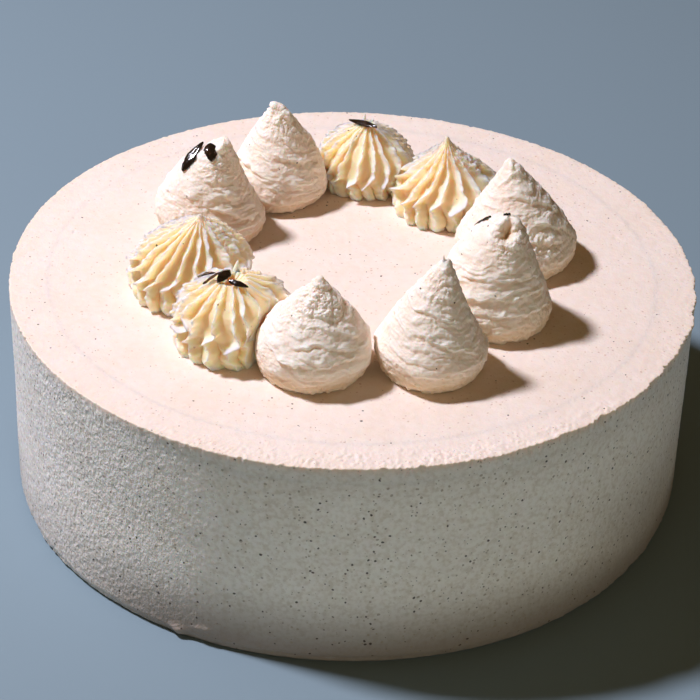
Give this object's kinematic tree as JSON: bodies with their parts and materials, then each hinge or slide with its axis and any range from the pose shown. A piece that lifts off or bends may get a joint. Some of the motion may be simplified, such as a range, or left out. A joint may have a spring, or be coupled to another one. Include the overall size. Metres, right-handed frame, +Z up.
{
  "type": "chiffon cake",
  "caption": "Round tall chiffon cake in speckled cream, topped with a ring of piped plain cones and ribbed stars, some holding thin dark shards.",
  "frame": {"origin": "middle of the foot, on the surface the cake stands on", "axes": "+Z up, +X to the viewer's right, +Y away from the viewer of the picture"},
  "size_m": [0.2007, 0.2007, 0.1005],
  "materials": {
    "cream_coat": "soft matt cream with tiny dark specks",
    "cone_cream": "stiff rough cream, softly satin",
    "star_cream": "smooth satin cream, warm in the grooves",
    "dark_shard": "glossy, near black brown"
  },
  "bodies": {
    "root": {"cake": "cream_coat", "cone_1": "cone_cream", "cone_2": "cone_cream", "cone_3": "cone_cream", "cone_4": "cone_cream", "cone_5": "cone_cream", "cone_6": "cone_cream", "star_1": "star_cream", "star_2": "star_cream", "star_3": "star_cream", "star_4": "star_cream", "shard_1": "dark_shard", "shard_2": "dark_shard", "shard_3": "dark_shard", "shard_4": "dark_shard", "shard_5": "dark_shard", "shard_6": "dark_shard", "shard_7": "dark_shard", "shard_8": "dark_shard", "shard_9": "dark_shard"}
  },
  "joints": []
}
